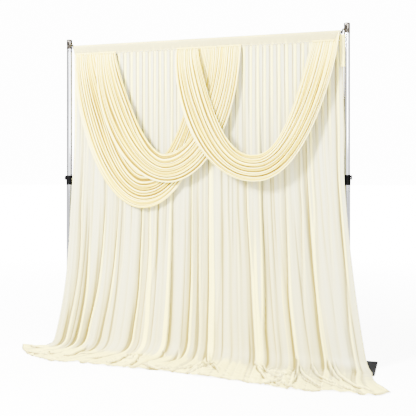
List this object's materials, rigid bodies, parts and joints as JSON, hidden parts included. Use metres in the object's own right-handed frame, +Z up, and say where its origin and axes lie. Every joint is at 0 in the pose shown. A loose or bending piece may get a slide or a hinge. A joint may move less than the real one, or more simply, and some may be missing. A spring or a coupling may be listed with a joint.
{
  "type": "draped backdrop on a pipe stand",
  "caption": "Ivory gathered backdrop cloth with pleated cream swags, hung from a crossbar between telescoping uprights, with a train spread on the floor in front.",
  "frame": {"origin": "middle of the whole footprint, train included, at floor level", "axes": "+X runs along the crossbar to the side of the longer train tip's opposite end, the viewer's right; +Y runs from the draped front to the bare back; +Z is up"},
  "size_m": [3.2061, 0.9734, 2.7],
  "materials": {
    "ivory_cloth": "matt knit with a faint sheen",
    "cream_cloth": "matt knit with a faint sheen",
    "satin_metal": "satin, drawn lengthwise",
    "chrome": "polished, dark tinted",
    "black_plastic": "matt",
    "charcoal_steel": "fine powder coat"
  },
  "bodies": {
    "root": {"base_plate_left": "charcoal_steel", "base_pin_left": "charcoal_steel", "upright_lower_left": "satin_metal", "upright_upper_left": "satin_metal", "lock_collar_left": "black_plastic", "lock_knob_left": "black_plastic", "slotted_cap_left": "chrome", "cap_rivet_left": "satin_metal", "bar_hook_left": "black_plastic", "base_plate_right": "charcoal_steel", "base_pin_right": "charcoal_steel", "upright_lower_right": "satin_metal", "upright_upper_right": "satin_metal", "lock_collar_right": "black_plastic", "lock_knob_right": "black_plastic", "slotted_cap_right": "chrome", "cap_rivet_right": "satin_metal", "bar_hook_right": "black_plastic", "crossbar": "satin_metal", "header_pocket": "ivory_cloth", "panel": "ivory_cloth", "end_flap": "ivory_cloth", "swag_long": "cream_cloth", "swag_long_tape_left": "cream_cloth", "swag_long_tape_right": "cream_cloth", "swag_middle": "cream_cloth", "swag_middle_tape_left": "cream_cloth", "swag_middle_tape_right": "cream_cloth", "swag_right": "cream_cloth", "swag_right_tape_left": "cream_cloth", "swag_right_tape_right": "cream_cloth"}
  },
  "joints": []
}
